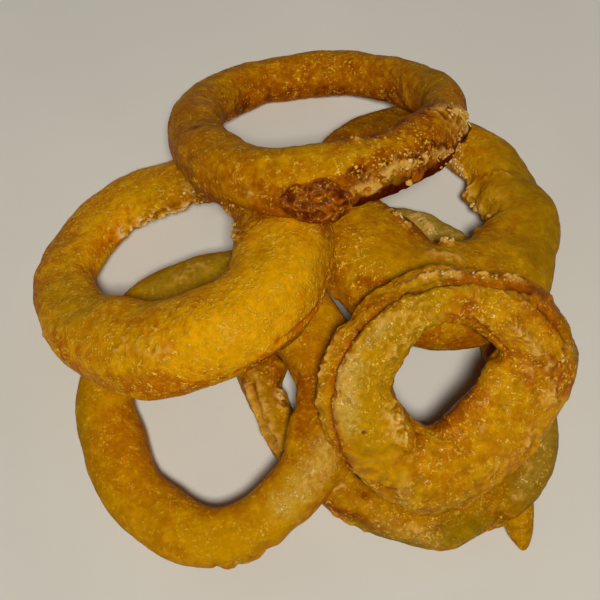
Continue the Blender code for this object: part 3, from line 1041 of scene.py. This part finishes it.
def crust_material(name, warmth=0.0, value=1.0, wet=0.25):
    """Fried batter with its colours, its painted oily glints and a fine bump."""
    material = bpy.data.materials.new(name)
    wire = Wiring(material)
    patch = wire.noise(3.4, 3.0)
    mottle = wire.noise(1.3, 2.0)
    crest = wire.field("crest")
    colour = batter_colour(wire, warmth, value, patch, mottle, crest)
    painted_glint = painted_oily_glints(wire, crest)
    # Painted highlights: the glints are painted into the colour, whiter in milky patches.
    colour = wire.blend(painted_glint, colour, wire.blend(wire.field("milk"), PAINTED_GLINT, FROST_AND_WHITE_GLINT))
    rust = tuple(value * share for share in RUST)
    scorched = wire.blend(wire.spread(crest, 0.4, 0.9), CHAR, rust)
    colour = wire.blend(wire.field("burnt"), colour, scorched)
    shader = wire.shader()
    wire.plug(shader.inputs["Base Color"], colour)
    wire.plug(shader.inputs["Roughness"], wire.spread(painted_glint, 0.0, 0.5, 0.44, 0.26))
    for socket, setting in CRUST_SETTINGS.items():
        shader.inputs[socket].default_value = setting
    shader.inputs["Coat Weight"].default_value = wet
    height = wire.times(painted_glint, 0.6)
    height = wire.math("ADD", height, wire.times(mottle, 0.4))
    height = wire.math("ADD", height, wire.times(wire.noise(0.6, 1.0), 0.25))
    bump = wire.add("ShaderNodeBump")
    bump.inputs["Strength"].default_value = 1.0
    bump.inputs["Distance"].default_value = 0.35 * MM
    wire.plug(bump.inputs["Height"], height)
    wire.plug(shader.inputs["Normal"], bump.outputs[0])
    wire.plug(shader.inputs["Coat Normal"], bump.outputs[0])
    return material


def make_ring(name):
    """A ring's crust, in place of its CAD solid, and the crumbs on it."""
    spec = RINGS[name]
    rows, columns = spec["grid"]
    around, section = ring_grid(spec["grid"])
    smooth = ring_points(spec, around, section)
    normals = grid_normals(smooth).reshape(-1, 3)
    points = smooth.reshape(-1, 3)
    warmth, value, wet, grain_and_glint, wrinkled = LOOKS[name]
    fields = ring_fields(spec, MARKS[name], grain_and_glint, wrinkled, points, section.reshape(-1))
    height, fields["crest"] = crust_relief(spec["seed"], wrinkled, points, fields)
    height = np.minimum(height, np.maximum(room_outward(name, points), -DEEPEST_SINK))
    moved = points + normals * height[:, None]
    moved[:, 2] = np.maximum(moved[:, 2], 0.0)
    fields.pop("height")
    material = crust_material(name + "_crust_batter", warmth, value, wet)
    crust = make_mesh(name + "_crust", moved, grid_faces(rows, columns), fields, material)
    add_bake_map(crust.data, rows, columns)
    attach(crust, "root")
    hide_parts(name)
    make_crumbs(name, moved, normals)


def turned_axes(first, second, third, degrees):
    """Three axes, the first two turned about the third."""
    cosine = math.cos(math.radians(degrees))
    sine = math.sin(math.radians(degrees))
    return np.stack((cosine * first + sine * second, cosine * second - sine * first, third))


def crust_axes(spec, around, section, tilt):
    """A point of the crust and axes there: along and across the ring, turned by tilt, and out."""
    angles = np.radians(np.array(((around, section), (around + 2.0, section), (around, section + 4.0))))
    middle, along, up = ring_points(spec, angles[:, 0], angles[:, 1])
    first = (along - middle) / np.linalg.norm(along - middle)
    out = np.cross(first, up - middle)
    out /= np.linalg.norm(out)
    return middle, turned_axes(first, np.cross(out, first), out, tilt)


def add_lump():
    """Dark wrinkled blister on the outer side of the top ring."""
    middle, axes = crust_axes(RINGS["ring_top"], 271.0, -16.0, -9.0)
    make_blob(
        ring="ring_top",
        kind="lump",
        centre=middle - 0.1 * axes[2],
        axes=axes,
        half=np.array((8.3, 5.1, 2.2)),
        taper=0.0,
        wrinkle=(0.75, 2.2, 5),
        # The lump is dark red-brown of its own; its fold hollows are painted darker still as shade, and
        # its crests carry painted glints.
        fields={"brown": (1.0, 0.6), "burnt": (0.9, 0.0), "grain_and_glint": (0.2, 1.0)},
        look=(0.35, 1.0, 0.18),
    )


def add_bead():
    """Small glassy bead of dark batter in the burnt edge of the top ring."""
    middle, axes = crust_axes(RINGS["ring_top"], 304.0, -20.0, 60.0)
    make_blob(
        ring="ring_top",
        kind="bead",
        centre=middle - 0.2 * axes[2],
        axes=axes,
        half=np.array((2.6, 1.9, 1.3)),
        taper=0.1,
        wrinkle=(0.12, 2.4, 15),
        fields={"brown": (0.9, 0.35), "burnt": (0.3, 0.0)},
        look=(0.35, 0.9, 0.3),
    )


def add_drip():
    """Tongue of run batter at the foot of the base ring."""
    make_blob(
        ring="ring_base",
        kind="drip",
        centre=np.array(DRIP_CENTRE) + PILE_SHIFT,
        axes=turned_axes(*np.eye(3), DRIP_TURN),
        half=np.array((4.2, 9.6, 3.4)),
        taper=0.3,
        wrinkle=(0.2, 3.0, 9),
        fields={"tone": (0.1, 0.5), "grain_and_glint": (0.2, 0.9)},
        look=LOOKS["ring_base"][:3],
    )


def make_floor():
    """Pale plane just under the pile."""
    bpy.ops.mesh.primitive_plane_add(size=FLOOR_SIZE, location=(0.0, 0.0, -FLOOR_DROP))
    floor = bpy.context.active_object
    floor.name = "floor"
    material = bpy.data.materials.new("pale_floor")
    wire = Wiring(material)
    shader = wire.shader()
    cloud = wire.spread(wire.noise(60.0, 3.0), 0.3, 0.7)
    tint = wire.blend(cloud, (0.7, 0.69, 0.67), (0.73, 0.72, 0.7))
    wire.plug(shader.inputs["Base Color"], tint)
    shader.inputs["Roughness"].default_value = 0.8
    floor.data.materials.append(material)


def make_light(name, place, power, size, colour):
    """A square area light aimed at the middle of the pile."""
    data = bpy.data.lights.new(name, "AREA")
    data.energy = power
    data.size = size
    data.color = colour
    lamp = bpy.data.objects.new(name, data)
    lamp.location = place
    lamp.rotation_euler = (Vector(LIGHT_TARGET) - Vector(place)).to_track_quat("-Z", "Y").to_euler()
    bpy.context.scene.collection.objects.link(lamp)


def make_camera():
    """Looks along +Y, steeply down on the pile."""
    elevation = math.radians(CAMERA_ELEVATION)
    back = Vector((0.0, -math.cos(elevation), math.sin(elevation)))
    data = bpy.data.cameras.new("camera")
    data.lens = CAMERA_LENS
    data.clip_start = 0.01
    camera = bpy.data.objects.new("camera", data)
    camera.location = Vector(CAMERA_TARGET) + back * CAMERA_DISTANCE
    camera.rotation_euler = back.to_track_quat("Z", "Y").to_euler()
    bpy.context.scene.collection.objects.link(camera)
    bpy.context.scene.camera = camera


def make_stage():
    make_floor()
    make_camera()
    make_light("key", (0.03, -0.42, 0.86), power=6.45, size=0.12, colour=(1.0, 0.95, 0.82))
    make_light("fill_left", (-0.6, 0.1, 0.5), power=0.15, size=0.5, colour=(1.0, 0.97, 0.93))
    make_light("fill_back", (0.25, 0.75, 0.3), power=0.35, size=0.5, colour=(1.0, 0.95, 0.84))
    world = bpy.data.worlds.new("studio")
    world.use_nodes = True
    background = world.node_tree.nodes["Background"]
    background.inputs["Color"].default_value = (1.0, 0.98, 0.95, 1.0)
    background.inputs["Strength"].default_value = 0.05
    bpy.context.scene.world = world
    bpy.context.scene.view_settings.view_transform = "Standard"


for ring_name in RINGS:
    make_ring(ring_name)
add_lump()
add_bead()
add_drip()
make_stage()
